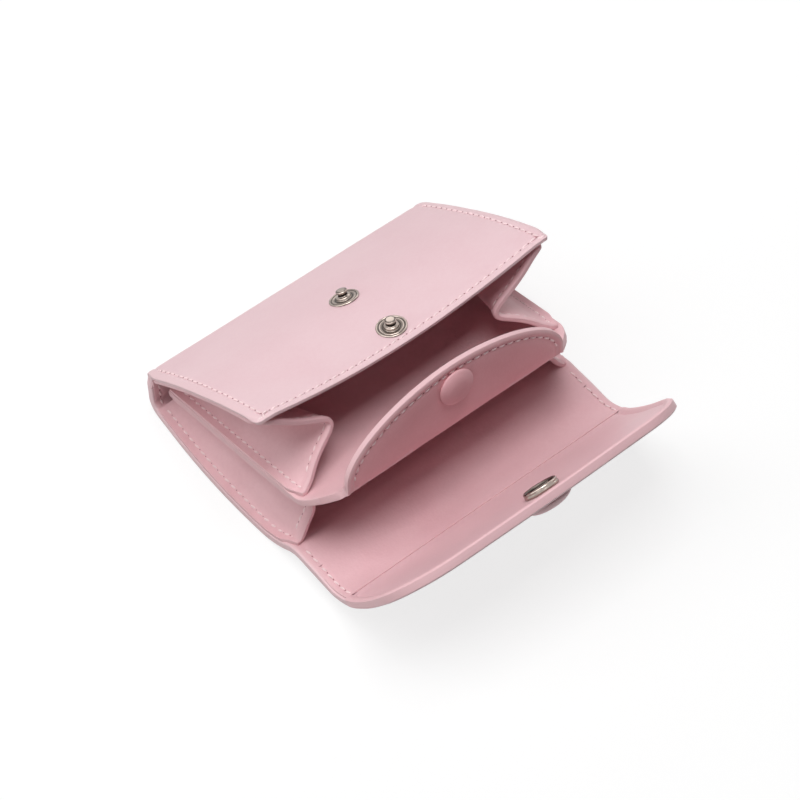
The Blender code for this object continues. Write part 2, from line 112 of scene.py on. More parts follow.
world = bpy.data.worlds.new("studio air")
bpy.context.scene.world = world
world.use_nodes = True
tree = world.node_tree
tree.nodes.clear()
air = node(tree, "ShaderNodeBackground", {"Color": (1.0, 0.99, 0.985, 1.0), "Strength": 0.02})
white = node(tree, "ShaderNodeBackground", {"Color": (1.0, 1.0, 1.0, 1.0), "Strength": 1.0})
either = node(tree, "ShaderNodeMixShader", links={0: (looked_at(tree), 0), 1: (air, 0), 2: (white, 0)})
node(tree, "ShaderNodeOutputWorld", links={"Surface": (either, 0)})

for name, place, watts in (("overhead softbox", (0, 0, 0.95), 5.5),
                           ("high softbox behind on the left", (-0.436, 0.252, 0.806), 2.7),
                           ("low softbox on the left", (-0.79, 0.33, 0.42), 1.5),
                           ("low softbox behind", (0.43, 0.75, 0.4), 1.0),
                           ("low softbox on the right", (0.85, 0.15, 0.35), 0.9),
                           ("low softbox in front on the left", (-0.6, -0.55, 0.45), 0.55)):
    bpy.ops.object.light_add(type="AREA", location=place)
    lamp = bpy.context.object
    lamp.name = name
    lamp.data.shape = "SQUARE"
    lamp.data.size = 0.5
    lamp.data.energy = watts
    lamp.rotation_euler = Vector(place).to_track_quat("Z", "Y").to_euler()

bpy.ops.object.camera_add(location=(-0.2748, -0.3567, 0.6283),
                          rotation=(math.radians(35.5), 0, math.radians(-39)))
camera = bpy.context.object
camera.data.sensor_width = 36
camera.data.lens = 112.5
bpy.context.scene.camera = camera
bpy.context.scene.view_settings.view_transform = "Standard"

# The outer leather of the spine and back: smooth pink calf over a board, 2.54 mm together, wrapped from the
# spine's top round the turn, under the wallet and on into the main flap's hinge. Its side edges are turned
# in and sewn, so they are rounded, and they are painted a little paler: partly from rubbing, partly a
# painted highlight along the rounded edge.

WIDTH = 0.108
HALF = WIDTH / 2
PANEL = 0.0026
BACK_HIDE = 0.00254
SPINE_Y = 0.0372


def stretch_of(marks, distance):
    """Which stretch of a marked line a distance falls in, and the share of that stretch."""
    k = min(max(bisect.bisect_left(marks, distance) - 1, 0), len(marks) - 2)
    return k, (distance - marks[k]) / max(marks[k + 1] - marks[k], 1e-9)


def profile(place, height, stretches):
    """Points of a side curve, walked toward -Y in fine steps of changing slope, as a function of distance."""
    step = 0.00025
    points = [(place, height)]
    for length, first, last in stretches:
        count = max(1, round(length / step))
        for k in range(count):
            slope = math.radians(first + (last - first) * (k + 0.5) / count)
            y, z = points[-1]
            points.append((y - math.cos(slope) * length / count, z + math.sin(slope) * length / count))
    total = sum(stretch[0] for stretch in stretches)
    marks = [0.0]
    for (y, z), (y2, z2) in zip(points, points[1:]):
        marks.append(marks[-1] + math.hypot(y2 - y, z2 - z))

    def at(distance):
        k, share = stretch_of(marks, distance * marks[-1] / total)
        return (points[k][0] + (points[k + 1][0] - points[k][0]) * share,
                points[k][1] + (points[k + 1][1] - points[k][1]) * share)
    return at, total


def smooth_step(low, high, value):
    """0 below low, 1 above high, and an even turn between them."""
    share = min(max((value - low) / (high - low), 0.0), 1.0)
    return share * share * (3 - 2 * share)


def normal_of(surface, x, s):
    """The unit normal of a surface, on the side that faces up or into the wallet."""
    e = 0.0004
    along = surface(x, s + e) - surface(x, s - e)
    across = surface(x + e, s) - surface(x - e, s)
    return along.cross(across).normalized()


def graded(start, end, coarse, fine_start=False, fine_end=False):
    """Places from start to end, coarse apart, and closer together in a band at an end that is fine."""
    fine = [0, 0.0004, 0.0009, 0.0015, 0.0021, 0.0026, 0.003, 0.0034, 0.0039, 0.0046, 0.0056, 0.007]
    head = [start + f for f in fine] if fine_start else [start]
    tail = [end - f for f in reversed(fine)] if fine_end else [end]
    count = max(1, math.ceil((tail[0] - head[-1]) / coarse))
    middle = [head[-1] + (tail[0] - head[-1]) * k / count for k in range(1, count)]
    return head + middle + tail


def lay(name, across, along, surface, span=None):
    """A grid primitive laid over a surface, column by column. Its UV map keeps each point's place in metres."""
    bpy.ops.mesh.primitive_grid_add(x_subdivisions=len(across) - 1, y_subdivisions=len(along) - 1, size=2)
    made = bpy.context.object
    made.name = made.data.name = name
    flat = []
    for vertex in made.data.vertices:
        x = across[round((vertex.co.x + 1) / 2 * (len(across) - 1))]
        s = along[round((vertex.co.y + 1) / 2 * (len(along) - 1))]
        if span:
            start, end = span(x)
            s = start + (end - start) * s
        flat.append((x, s))
        vertex.co = surface(x, s)
    layer = made.data.uv_layers[0].data
    for loop in made.data.loops:
        layer[loop.index].uv = flat[loop.vertex_index]
    return made, flat


def thicken(piece, flat, thickness, edge_distance, joins=(), lip=0.00012, groove=0.00022, seam=0.0027,
            round_off=0.0009, skived=None):
    """Give a laid sheet its thickness: a shallow groove along the seam, a soft lip outside it, round edges.
    Where it joins the next piece, at a place along it, its end is left square. A skived sheet is pared
    thinner: skived gives the share of the thickness that is left at a place."""
    groups = [piece.vertex_groups.new(name=name) for name in ("seam", "lip", "pared")]
    for index, (x, s) in enumerate(flat):
        d = edge_distance(x, s)
        for group, share in zip(groups, (math.exp(-((d - seam) / 0.0006) ** 2),
                                         smooth_step(0.0, 0.0008, d) * (1 - smooth_step(0.0018, seam, d)),
                                         skived(x, s) if skived else 1.0)):
            group.add([index], share, "REPLACE")
    bpy.context.view_layer.objects.active = piece
    solid = piece.modifiers.new("leather thickness", "SOLIDIFY")
    solid.thickness = thickness
    solid.offset = 0
    solid.use_even_offset = True
    if skived:
        solid.vertex_group = "pared"
    for group, strength in (("seam", -groove), ("lip", lip)):
        if strength:
            press = piece.modifiers.new(group, "DISPLACE")
            press.vertex_group = group
            press.strength = strength
            press.mid_level = 0
    for modifier in list(piece.modifiers):
        bpy.ops.object.modifier_apply(modifier=modifier.name)
    bulk = bmesh.new()
    bulk.from_mesh(piece.data)
    rounded = bulk.edges.layers.float.new("bevel_weight_edge")
    place = bulk.loops.layers.uv.active
    for edge in bulk.edges:
        spots = [corner[place].uv.y for loop in edge.link_loops for corner in (loop, loop.link_loop_next)]
        joined = any(all(abs(spot - join) < 1e-5 for spot in spots) for join in joins)
        if not joined and edge.calc_face_angle(0.0) > math.radians(55):
            edge[rounded] = 1.0
    bulk.to_mesh(piece.data)
    bulk.free()
    turned_edge = piece.modifiers.new("turned edge", "BEVEL")
    turned_edge.width = min(round_off, thickness * 0.42)
    turned_edge.segments = 4
    turned_edge.limit_method = "WEIGHT"
    bpy.ops.object.modifier_apply(modifier=turned_edge.name)


def mark_points(piece, name, values):
    """Store a value at each point of a piece, for its material to read."""
    piece.data.attributes.new(name, "FLOAT", "POINT").data.foreach_set("value", values)


def mark_edge_tone(piece, edge_distance):
    """Mark how near each point is to a turned edge, where the colour is mixed toward the edge colour. On most
    hides that is paler, partly from rubbing and partly a painted highlight along the rounded edge.
    """
    near = [0.0] * len(piece.data.vertices)
    layer = piece.data.uv_layers[0].data
    for loop in piece.data.loops:
        near[loop.vertex_index] = 1 - smooth_step(0.0002, 0.0030, edge_distance(*layer[loop.index].uv))
    mark_points(piece, "edge_tone", near)


def leather(name, face, deep, edge_band, roughness):
    """Finished calf leather. Pores about 0.7 mm apart, drawn a little coarser than real so that they show,
    give it a soft broken gleam, and slow colour changes of a few percent keep it from looking moulded."""
    made, tree = empty_material(name)
    where = {"Vector": (node(tree, "ShaderNodeTexCoord"), "Object")}
    cloud = node(tree, "ShaderNodeTexNoise", {"Scale": 42.0, "Detail": 4.0, "Roughness": 0.55}, where)
    fleck = node(tree, "ShaderNodeTexNoise", {"Scale": 900.0, "Detail": 3.0, "Roughness": 0.6}, where)
    mixed = node(tree, "ShaderNodeMath", {1: 0.35}, {0: (fleck, "Fac"), 2: (cloud, "Fac")},
                 operation="MULTIPLY_ADD")
    tone = node(tree, "ShaderNodeValToRGB", links={"Fac": (mixed, 0)})
    tone.color_ramp.elements[0].position = 0.45
    tone.color_ramp.elements[0].color = linear(deep)
    tone.color_ramp.elements[1].position = 0.82
    tone.color_ramp.elements[1].color = linear(face)
    # near a turned edge the colour is mixed toward the edge colour: partly rubbing, partly a painted highlight
    edge_mask = node(tree, "ShaderNodeAttribute", attribute_name="edge_tone")
    part = node(tree, "ShaderNodeMath", {1: 0.75}, {0: (edge_mask, "Fac")}, operation="MULTIPLY")
    colour = node(tree, "ShaderNodeMix", {"B": linear(edge_band)}, {"Factor": (part, 0), "A": (tone, "Color")},
                  data_type="RGBA")
    pores = node(tree, "ShaderNodeTexVoronoi", {"Scale": 1400.0, "Randomness": 0.9}, where, feature="SMOOTH_F1")
    creases = node(tree, "ShaderNodeTexNoise", {"Scale": 320.0, "Detail": 4.0, "Roughness": 0.6}, where)
    height = node(tree, "ShaderNodeMath", {1: 0.6}, {0: (creases, "Fac"), 2: (pores, "Distance")},
                  operation="MULTIPLY_ADD")
    grain = node(tree, "ShaderNodeBump", {"Strength": 0.35, "Distance": 0.00009}, {"Height": (height, 0)})
    gleam = node(tree, "ShaderNodeMapRange", {"From Min": 0.3, "From Max": 0.75, "To Min": roughness - 0.05,
                                              "To Max": roughness + 0.07}, {"Value": (cloud, "Fac")})
    shader = node(tree, "ShaderNodeBsdfPrincipled",
                  {"IOR": 1.33, "Sheen Weight": 0.04, "Sheen Roughness": 0.4},
                  {"Base Color": (colour, "Result"), "Roughness": (gleam, "Result"),
                   "Normal": (grain, "Normal")})
    node(tree, "ShaderNodeOutputMaterial", links={"Surface": (shader, "BSDF")})
    return made


def sheet(name, across, along, surface, thickness, distance, material, span=None, edge_band=None, **edges):
    """A leather sheet: laid over a surface, thickened, marked near its edges for its edge colour, and given its
    material.
    """
    made, flat = lay(name, across, along, surface, span)
    thicken(made, flat, thickness, distance, **edges)
    mark_edge_tone(made, edge_band or distance)
    finish_mesh(made, material)
    return made


calf = leather("smooth pink calf leather", "#E4C5CA", "#E0BDC3", "#E6C6CA", 0.46)

SPINE_TOP = PANEL / 2 + 0.0065 * 2 / math.pi + 0.0095
back_at, back_length = profile(SPINE_Y, SPINE_TOP, [(0.0095, -90, -90), (0.0065, -90, 0), (0.0525, 0, 0),
                                                   (0.0125, 0, 32.5), (0.005, 32.5, -1)])
mouth = back_at(back_length)
hinge_planes = ((0, mouth[0] + 0.003, mouth[1]), (0, mouth[0] - 0.002, mouth[1]))
flap_length = 0.073
flap_at, _ = profile(*mouth, [(flap_length * share, first, last) for share, first, last in (
    (0.2, -1, -1), (0.06, -1, 22), (0.14, 22, 50), (0.1, 50, 54), (0.14, 54, 59), (0.36, 59, 56))])


def back_surface(x, s):
    """Middle of the back's layers, from the spine's top to the mouth, then on along the main flap.
    Past the spine it bellies out at each side, by up to 2.2 mm."""
    share = min(max((s - 0.0095) / (back_length - 0.0095), 0.0), 1.0)
    wider = 1 + 2 * 0.0022 / WIDTH * math.sin(math.pi * share)
    y, z = back_at(s) if s <= back_length else flap_at(s - back_length)
    return Vector((x * wider, y, z))


def lifted(surface, offset):
    """The same surface, moved along its normal."""
    return lambda x, s: surface(x, s) + normal_of(surface, x, s) * offset


hinge_split = back_length + 0.008
full_width = graded(-HALF, HALF, 0.006, True, True)
along = [0.0038 + k * 0.0009 for k in range(15)] + graded(0.0173, hinge_split, 0.0015)


def side_distance(x, s):
    """Distance from the wallet's side edges."""
    return HALF - abs(x)


back_outer = sheet("back_outer_leather", full_width, along, back_surface, BACK_HIDE, side_distance, calf,
                   joins=(along[0], hinge_split))
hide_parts("outer_back_and_spine", "back_stiffener", "spine_stiffener", "flap_hinge_outer")
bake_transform(back_outer)

# The lining of the spine, the back and the flap's hinge: thin pink leather pasted inside the turned edges,
# from the spine's top down round its turn, to the mouth and out over the hinge.

# the lining is painted a deeper, more saturated pink than the calf: painted shade for the dim insides it lines
lining_leather = leather("smooth pink lining leather", "#E3BBC0", "#DDB1B7", "#E6C2C6", 0.5)

LINING = 0.0005
LINING_INSET = 0.0007
LINING_OFFSET = 0.00118
lining_across = graded(-HALF + LINING_INSET, HALF - LINING_INSET, 0.006, True, True)
lining_along = [0.0006 + k * 0.0009 for k in range(18)] + graded(0.0173, hinge_split, 0.0015)
back_lining = sheet("back_lining_leather", lining_across, lining_along, lifted(back_surface, LINING_OFFSET),
                    LINING, side_distance, lining_leather, joins=(hinge_split,), lip=0.0, round_off=0.0002)
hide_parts("back_lining", "spine_lining", "flap_hinge_lining")
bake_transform(back_lining)

# The front panel: calf over a board, lined with the thinner leather. It is folded over the spine's top,
# sewn along its sides and mouth, and its mouth hangs a little between the two stiff corners.

FRONT_LENGTH = 0.0714
FRONT_HIDE = 0.0025
FOLD_END = -0.0016
FOLD_START = 0.0034
DRAWN_IN = 0.0020
MOUTH_CORNER = 0.0019
front_at, _ = profile(SPINE_Y, SPINE_TOP + 0.0003 + PANEL / 2,
                      [(FRONT_LENGTH * share, first, last) for share, first, last in
                       ((0.2, 40, 38), (0.25, 38, 35.5), (0.25, 35.5, 32), (0.3, 32, 28.5))])


def front_surface(x, s):
    """Middle of the front panel's layers, from its fold at the spine to its mouth."""
    y, z = front_at(max(s, 0.0))
    past = max(0.0, (s / FRONT_LENGTH - 0.45) / 0.55)
    hang = 0.0078 * min(past, 1.2) ** 1.6 * (1 - (2 * x / WIDTH) ** 2)
    soft = 0.00025 * noise.noise(Vector((x * 38, s * 38, 1.7)))
    return Vector((x, y, z - hang + soft))


fold_top = (SPINE_Y + 0.0007, SPINE_TOP - 0.0006)


def rounded_corner(x, s):
    """The panel's place across it, drawn in a little where its corners round off beside the fold."""
    return x * (1 - DRAWN_IN / WIDTH * (1 - smooth_step(FOLD_END, 0.0060, s)))


def bent(start, corner, end, share):
    """A point on the soft bend that leaves a start toward a corner and comes to an end."""
    return start * (1 - share) ** 2 + corner * 2 * share * (1 - share) + end * share ** 2


def front_left_share(x, s):
    """The share of the panel's thickness that is left where the hide is pared for its turned mouth."""
    return 1 - 0.6 * smooth_step(FRONT_LENGTH - 0.009, FRONT_LENGTH - 0.001, s)


def mouth_corner(x, s):
    """How far the mouth's corner is rounded off, in metres, and how near a place is to it, from 0 to 1."""
    beyond = max(0.0, abs(x) - (HALF - MOUTH_CORNER))
    cut = MOUTH_CORNER - math.sqrt(max(0.0, MOUTH_CORNER ** 2 - beyond ** 2))
    near = smooth_step(FRONT_LENGTH - 0.009, FRONT_LENGTH, s)
    return cut * near, near * smooth_step(HALF - 0.010, HALF, abs(x))


def front_outer_surface(x, s):
    """Middle of the panel, which runs on behind and round over the spine's top. Its sides bend down a little
    outside their seams, the pared mouth keeps its upper face, and the mouth's corners droop 1.1 mm."""
    x = rounded_corner(x, s)
    cut, corner_near = mouth_corner(x, s)
    s -= cut
    start = front_surface(x, FOLD_START)
    if s >= FOLD_START:
        point = front_surface(x, s)
        point.z -= 0.0011 * corner_near ** 2
        up = normal_of(front_surface, x, s)
        point += up * FRONT_HIDE / 2 * (1 - front_left_share(x, s))
    else:
        share = (FOLD_START - s) / (FOLD_START - FOLD_END)
        slope = math.radians(40)
        end = Vector((x, fold_top[0], fold_top[1]))
        corner = Vector((x, fold_top[0], start.z - math.tan(slope) * (fold_top[0] - start.y)))
        point = bent(start, corner, end, share)
    outside = max(0.0, abs(x) - (HALF - 0.0028)) / 0.0028
    point.z -= 0.0009 * outside ** 2 * smooth_step(FOLD_END, 0.006, s)
    return point


def front_distance(x, s):
    """Distance from the panel's sides and mouth."""
    return min(HALF - abs(x), FRONT_LENGTH - s)


across = graded(-HALF, HALF, 0.0045, True, True)
along = [FOLD_END + k * 0.0005 for k in range(11)] + graded(0.0042, FRONT_LENGTH, 0.003, fine_end=True)
front_outer = sheet("front_outer_leather", across, along, front_outer_surface, FRONT_HIDE, front_distance, calf,
                    joins=(FOLD_END,), skived=front_left_share)
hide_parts("front_outer", "front_stiffener")
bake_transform(front_outer)


def front_lining_surface(x, s):
    """The lining's middle, just under the panel, with the pared mouth and the bent sides."""
    depth = FRONT_HIDE / 2 * front_left_share(x, s) - 0.0001
    return front_outer_surface(x, s) - normal_of(front_surface, x, s) * depth


along = graded(0.0044, FRONT_LENGTH - LINING_INSET, 0.004, fine_end=True)
front_lining = sheet("front_lining_leather", lining_across, along, front_lining_surface, LINING,
                     front_distance, lining_leather, lip=0.0, round_off=0.0002)
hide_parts("front_lining")
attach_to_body(front_lining, "front_panel")

# The fold over the spine's top: the same hide as the panel's, turned over the end of the spine board. It
# closes the gap behind the panel.


def fold_surface(x, t):
    """Middle of the fold, from the spine's back up to where the front panel begins."""
    drawn_in = 1 - DRAWN_IN / WIDTH * smooth_step(0.0, 1.0, t)
    bottom = back_surface(0.0, 0.0038)
    return Vector((x * drawn_in, bottom.y + (fold_top[0] - bottom.y) * math.sin(math.pi / 2 * t),
                   bottom.z + (fold_top[1] - bottom.z) * t))


fold_strip = sheet("spine_fold_leather", full_width, [k / 8 for k in range(9)], fold_surface, FRONT_HIDE,
                   side_distance, calf, joins=(0.0, 1.0))
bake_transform(fold_strip)

# The divider between the note and coin pockets: two leathers over a board. At the mouth they run on as a
# tongue that bends up and becomes the foot of the coin flap. Its hide is painted a tone deeper than the
# panel's: painted shade for the pocket it lies in.

DIVIDER_WIDTH = 0.1008
DIVIDER_HIDE = 0.0023
divider_length = 0.0691
foot_length = 0.0118
coin_width = 0.081
divider_at, _ = profile(0.0332, 0.00983, [(divider_length - 0.003, 14.3, 14.3), (0.006, 14.3, 37),
                                          (foot_length - 0.003, 37, 37)])
tongue_split = divider_length + foot_length / 2


def divider_surface(x, s):
    """Middle of the divider's layers and of the tongue beyond its mouth."""
    return Vector((x, *divider_at(s)))


def tongue_half(s):
    """Half the width of the divider, and of the tongue, which narrows to the coin flap in a round shoulder."""
    past = min(max((s - divider_length + 0.002) / (foot_length + 0.002), 0.0), 1.0)
    return DIVIDER_WIDTH / 2 - (DIVIDER_WIDTH - coin_width) / 2 * past ** 1.7


def share_distance(x, s):
    """Distance from the divider's side edge, with x as a share of its half width."""
    return (1 - abs(x)) * tongue_half(s)


ridge = DIVIDER_WIDTH / 2
shares = [value / ridge for value in graded(-ridge, ridge, 0.006, True, True)]
fine_from = 0.064
along = [s for s in graded(0.001, tongue_split, 0.003) if s < fine_from]
along += [fine_from + k * (tongue_split - fine_from) / 9 for k in range(10)]
# a deeper pink than the panel's calf: painted shade
shaded_divider_calf = leather("pink calf leather of the divider", "#E1B8BD", "#DBB0B6", "#E3BDC1", 0.46)
divider = sheet("divider_leather", shares, along, lambda x, s: divider_surface(x * tongue_half(s), s),
                DIVIDER_HIDE, share_distance, shaded_divider_calf, joins=(tongue_split,), lip=0, groove=0,
                round_off=0.00072)
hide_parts("divider_upper_skin", "divider_stiffener")
tongue_bend = (divider_surface(0, divider_length - 0.002), divider_surface(0, divider_length + 0.0025))
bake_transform(divider)

inner_shares = [value * (1 - LINING_INSET / ridge) for value in shares]
under = sheet("divider_under_lining", inner_shares, [s for s in along if s < divider_length - 0.002],
              lambda x, s: lifted(divider_surface, -LINING_OFFSET)(x * tongue_half(s), s),
              LINING, share_distance, lining_leather, lip=0, groove=0, round_off=0.0002)
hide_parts("divider_lower_skin")
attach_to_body(under, "divider")

# The coin flap: the tongue bends up into a half-round leaf of two leathers, with a turned rim sewn all
# round. Its outer face is painted a deeper pink than the rest, and so is the cover of its snap's cap:
# painted shade, with the pink light that the flap below throws on them.

coin_rise = 0.0242
RIM_FOOT = 0.0035
bend_place = divider_length + foot_length
rise_at, _ = profile(*divider_at(bend_place),
                     [(coin_rise * 0.4, 93, 99), (coin_rise * 0.6, 99, 102)])


def rim_height(x):
    """Height of the half-round rim above the bend."""
    share = min(1.0, abs(2 * x) / coin_width)
    return RIM_FOOT + (coin_rise - RIM_FOOT) * math.sqrt(max(0.0, 1 - share ** 1.85))


def leaf_surface(x, s):
    """Middle of the coin flap's layers: s runs up the leaf, and below zero back along the tongue."""
    bend = 0.0026
    if s > bend:
        return Vector((x, *rise_at(s)))
    if s < -bend:
        return Vector((x, *divider_at(bend_place + s)))
    share = (s + bend) / (2 * bend)
    start = Vector((0, *divider_at(bend_place - bend)))
    corner = Vector((0, *divider_at(bend_place)))
    point = bent(start, corner, Vector((0, *rise_at(bend))), share)
    return Vector((x, point.y, point.z))


rim_end = -0.003
rim_points = [Vector((coin_width / 2, rim_end + (RIM_FOOT - rim_end) * k / 8)) for k in range(8)]
rim_points += [Vector((x, rim_height(x))) for x in
               [coin_width / 2 * math.cos(math.pi * k / 120) for k in range(121)]]
rim_points += [Vector((-coin_width / 2, RIM_FOOT + (rim_end - RIM_FOOT) * k / 8)) for k in range(1, 9)]


def outline_distance(points, x, s):
    """Distance of a place from an outline drawn in the flat."""
    here = Vector((x, s))
    best = 1.0
    for a, b in zip(points, points[1:]):
        side = b - a
        if side.length_squared < 1e-12:
            continue
        t = min(max((here - a).dot(side) / side.length_squared, 0.0), 1.0)
        best = min(best, (here - a - side * t).length)
    return best


def rim_distance(x, s):
    """Distance from the leaf's rim."""
    return outline_distance(rim_points, x, s)


round_columns = [coin_width / 2 * math.sin(math.pi / 2 * k / 22) for k in range(-22, 23)]
rim_rows = [0.0, 0.08, 0.16, 0.23, 0.3, 0.37, 0.44, 0.51, 0.58, 0.65, 0.71, 0.76, 0.8, 0.835, 0.86, 0.88, 0.9,
            0.92, 0.94, 0.96, 0.98, 1.0]


def leaf_place(x, s):
    """The leaf's surface, with the columns spread out over the wider tongue below the bend."""
    half = tongue_half(bend_place + s) if s < 0 else coin_width / 2
    return leaf_surface(x * half / (coin_width / 2), s)


def leaf_left_share(x, s):
    """The share of the leaf's thickness that is left where its leathers are pared for the turned rim."""
    return 1 - 0.3 * (1 - smooth_step(0.001, 0.006, rim_distance(x, s))) * smooth_step(0.0, 0.003, s)


def leaf_seam_distance(x, s):
    """Distance from the leaf's rim for its seam and lip, which fade out down the tongue."""
    return rim_distance(x, s) + 0.01 * smooth_step(0.001, -0.003, s)


def face_outside(piece, material, surface, limit, start=0.0, lowest=0.0):
    """Give a sheet's outer face, which looks away from the surface's normal, a material of its own."""
    piece.data.materials.append(material)
    place = piece.data.uv_layers[0].data
    for face in piece.data.polygons:
        x, s = place[face.loop_start].uv
        if s > start and face.normal.dot(normal_of(surface, x, max(s, lowest))) < limit:
            face.material_index = 1


coin_shaded_calf = leather("deeper pink calf leather", "#E3AFB5", "#DCA5AB", "#E6BFC3", 0.46)
leaf = sheet("coin_flap_leather", round_columns, rim_rows, leaf_place, DIVIDER_HIDE, leaf_seam_distance,
             shaded_divider_calf, lambda x: (-foot_length / 2, rim_height(x)), rim_distance,
             joins=(-foot_length / 2,), lip=0.0003, groove=0.0003, seam=0.0026, round_off=0.00072,
             skived=leaf_left_share)
# the leaf's outer face takes the deeper pink: painted shade and painted pink bounce light
face_outside(leaf, coin_shaded_calf, leaf_surface, -0.9, start=0.0005, lowest=0.004)
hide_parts("coin_flap_outer", "coin_flap_lining", "coin_flap_hinge_strip")
leaf_bend = (leaf_surface(0, -0.003), leaf_surface(0, 0.003))
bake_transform(leaf)

# The main flap: one leaf of calf with rounded corners, laid forward from the hinge and curled up at its
# front. Its inner face is lined to a crease, and beyond that faced with calf whose turned edge stands up
# as a soft bead.

CORNER = 0.021
CORNER_FOOT = 0.05
FLAP_BOW = 0.0015
FLAP_HIDE = 0.0022


def flap_surface(x, s):
    """Middle of the flap's layers, with the slight waves of soft leather."""
    soft = 0.0004 * noise.noise(Vector((x * 30, s * 30, 5.2))) * smooth_step(0.01, 0.03, s)
    y, z = flap_at(s)
    return Vector((x, y, z + soft))


inner = HALF - CORNER


def flap_end(x):
    """Length of the flap at a place across it: its front is slightly bowed, and rounded at the corners."""
    if abs(x) <= inner:
        return flap_length - FLAP_BOW * (x / inner) ** 2
    share = min(1.0, (abs(x) - inner) / CORNER)
    return CORNER_FOOT + (flap_length - FLAP_BOW - CORNER_FOOT) * math.sqrt(max(0.0, 1 - share ** 2))


corner_steps = [CORNER * math.sin(math.pi / 2 * k / 14) for k in range(1, 15)]
flap_columns = ([-inner - c for c in reversed(corner_steps)] + [-inner + 2 * inner * k / 16 for k in range(17)]
                + [inner + c for c in corner_steps])
outline = [Vector((HALF, CORNER_FOOT * k / 25)) for k in range(25)]
outline += [Vector((x, flap_end(x))) for x in
            [HALF * math.sin(math.pi / 2 - math.pi * k / 160) for k in range(161)]]
outline += [Vector((-HALF, CORNER_FOOT * (1 - k / 25))) for k in range(26)]


def flap_distance(x, s):
    """Distance from the flap's sides and front."""
    return outline_distance(outline, x, s)


flap_rows = [0.0, 0.04, 0.08, 0.12, 0.16, 0.2, 0.25, 0.3, 0.36, 0.42, 0.48, 0.54, 0.6, 0.66, 0.72, 0.77, 0.81,
             0.84, 0.87, 0.89, 0.91, 0.925, 0.94, 0.95, 0.96, 0.97, 0.98, 0.99, 1.0]
flap_base_start = 0.008
crease = 0.0245
flap_bend = (flap_surface(0, 0.0135), flap_surface(0, 0.0195))
along = graded(flap_base_start, crease, 0.0013)


def flap_base_left_share(x, s):
    """The share of the hinge's thickness that is left as the hide is pared toward the crease."""
    return 1 - 0.173 * smooth_step(flap_base_start, 0.016, s)


def flap_base_surface(x, s):
    """The middle of the flap's first part, which keeps its underside as it is pared."""
    return lifted(flap_surface, -0.00022 * smooth_step(flap_base_start, 0.016, s))(x, s)


flap_base = sheet("flap_base_leather", full_width, along, flap_base_surface, BACK_HIDE, side_distance, calf,
                  joins=(flap_base_start, crease), skived=flap_base_left_share)
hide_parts("flap_stiffener")
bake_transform(flap_base)

along = graded(flap_base_start, crease - 0.0002, 0.0013)
flap_lining = sheet("flap_lining_leather", lining_across, along, lifted(flap_surface, LINING_OFFSET), LINING,
                    side_distance, lining_leather, joins=(flap_base_start,), lip=0.0, round_off=0.0002)
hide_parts("flap_lining")
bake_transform(flap_lining)

# the flap's inner face and the cover of its snap's cap are painted a deeper pink than the outer calf: painted
# shade
flap_shaded_calf = leather("pink calf leather of the flap", "#E4BDC2", "#DEB5BB", "#E9BFC4", 0.44)
flap_front = sheet("flap_front_leather", flap_columns, flap_rows, flap_surface, FLAP_HIDE, flap_distance,
                   flap_shaded_calf, lambda x: (crease, flap_end(x)), joins=(crease,), lip=0.0005, groove=0.0005,
                   seam=0.0030)
face_outside(flap_front, calf, flap_surface, -0.5)
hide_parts("flap_facing", "flap_outer")
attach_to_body(flap_front, "main_flap")

# The side gussets: thin pink leather, folded inward like bellows between two panels. Each one is sewn flat
# along the panels' edges, and its mouth edge is hemmed into a thicker rounded band. A gusset is a wedge, so
# it is cut across into strips that meet when open.

GUSSET_HIDE = 0.0011
FLANGE = 0.00052


def bellows(corners, radii, u):
    """A point along a broken line with rounded corners. u runs from 0 to its number of sides."""
    side = min(int(u), len(corners) - 2)
    for k in range(1, len(corners) - 1):
        r = radii[k - 1]
        if abs(u - k) < r:
            before = corners[k].lerp(corners[k - 1], r)
            after = corners[k].lerp(corners[k + 1], r)
            return bent(before, corners[k], after, (u - k + r) / (2 * r))
    return corners[side].lerp(corners[side + 1], u - side)


def gusset_surface(upper, lower, side, reach, depth_mouth, back, sag, swell, softness):
    """The gusset between two panels' edge lines, as a function of u down it and v toward the mouth. At the
    mouth its fold lies depth_mouth inside the edges, moved by back and sag, and its sides swell outward."""
    def at(u, v):
        share = 0.03 + (reach - 0.03) * v
        cut = 0.0030 * smooth_step(0.90, 1.0, share)
        top_edge, top_seam = upper(share - cut * 9, cut), upper(share - cut * 3, 0.0040)
        low_seam, low_edge = lower(share, 0.0034), lower(share, cut * 0.6)
        depth = 0.003 + (depth_mouth - 0.003) * share
        fold = (top_edge + low_edge) / 2
        fold.x = side * (min(abs(top_edge.x), abs(low_edge.x)) + cut * 0.6 - depth - 0.0003)
        fold.y += back * share
        fold.z -= sag * share
        point = bellows([top_edge, top_seam, fold, low_seam, low_edge], softness, u)
        if 1 < u < 3:
            bow = math.sin(math.pi * (u - 1 if u < 2 else u - 2)) ** 2 * share
            point.x += side * swell * bow
        return point
    return at


def panel_edge(surface, half, start, length, offset):
    """A panel's edge line, a little inside its edge, as a function of a share of its length."""
    def at(share, inset):
        s = start + length * share
        x = half - math.copysign(inset, half)
        return surface(x, s) + normal_of(surface, x, s) * offset
    return at


